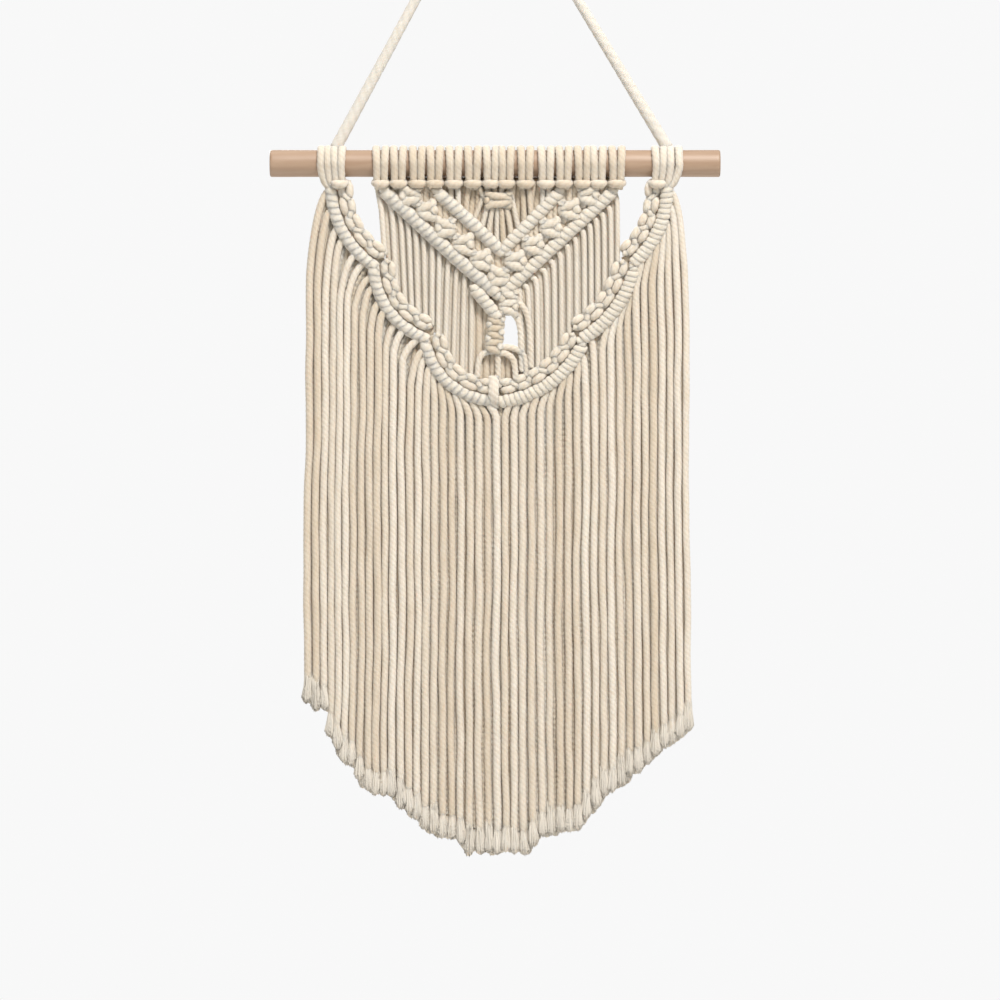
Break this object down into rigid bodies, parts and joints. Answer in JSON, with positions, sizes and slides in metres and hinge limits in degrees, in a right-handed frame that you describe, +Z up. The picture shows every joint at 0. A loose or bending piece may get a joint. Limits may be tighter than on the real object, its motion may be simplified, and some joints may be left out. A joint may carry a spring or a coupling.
{
  "type": "macrame wall hanging on a wooden rod",
  "caption": "Knotted cotton macrame hanging on a round pine rod: V-shaped knotted web, scalloped knotted edges and a long pointed fringe, hung from one taut cord.",
  "frame": {"origin": "the point where the hanging cord is held: the underside of the cord at the top of its bend", "axes": "+Z up; the front of the hanging faces -Y and its wall side +Y; +X to the right seen from the front, along the rod"},
  "size_m": [0.25, 0.0202, 0.5515],
  "materials": {
    "pine": "pale turned pine, lightly sanded, no varnish",
    "cotton_cord": "natural unbleached twisted cotton, matt and slightly hairy",
    "hanging_cord": "natural twisted cotton, matt, pulled taut"
  },
  "bodies": {
    "root": {"rod": "pine", "hanging_cord": "hanging_cord", "knotwork": "cotton_cord", "fringe_left": "cotton_cord", "fringe_right": "cotton_cord"}
  },
  "joints": []
}
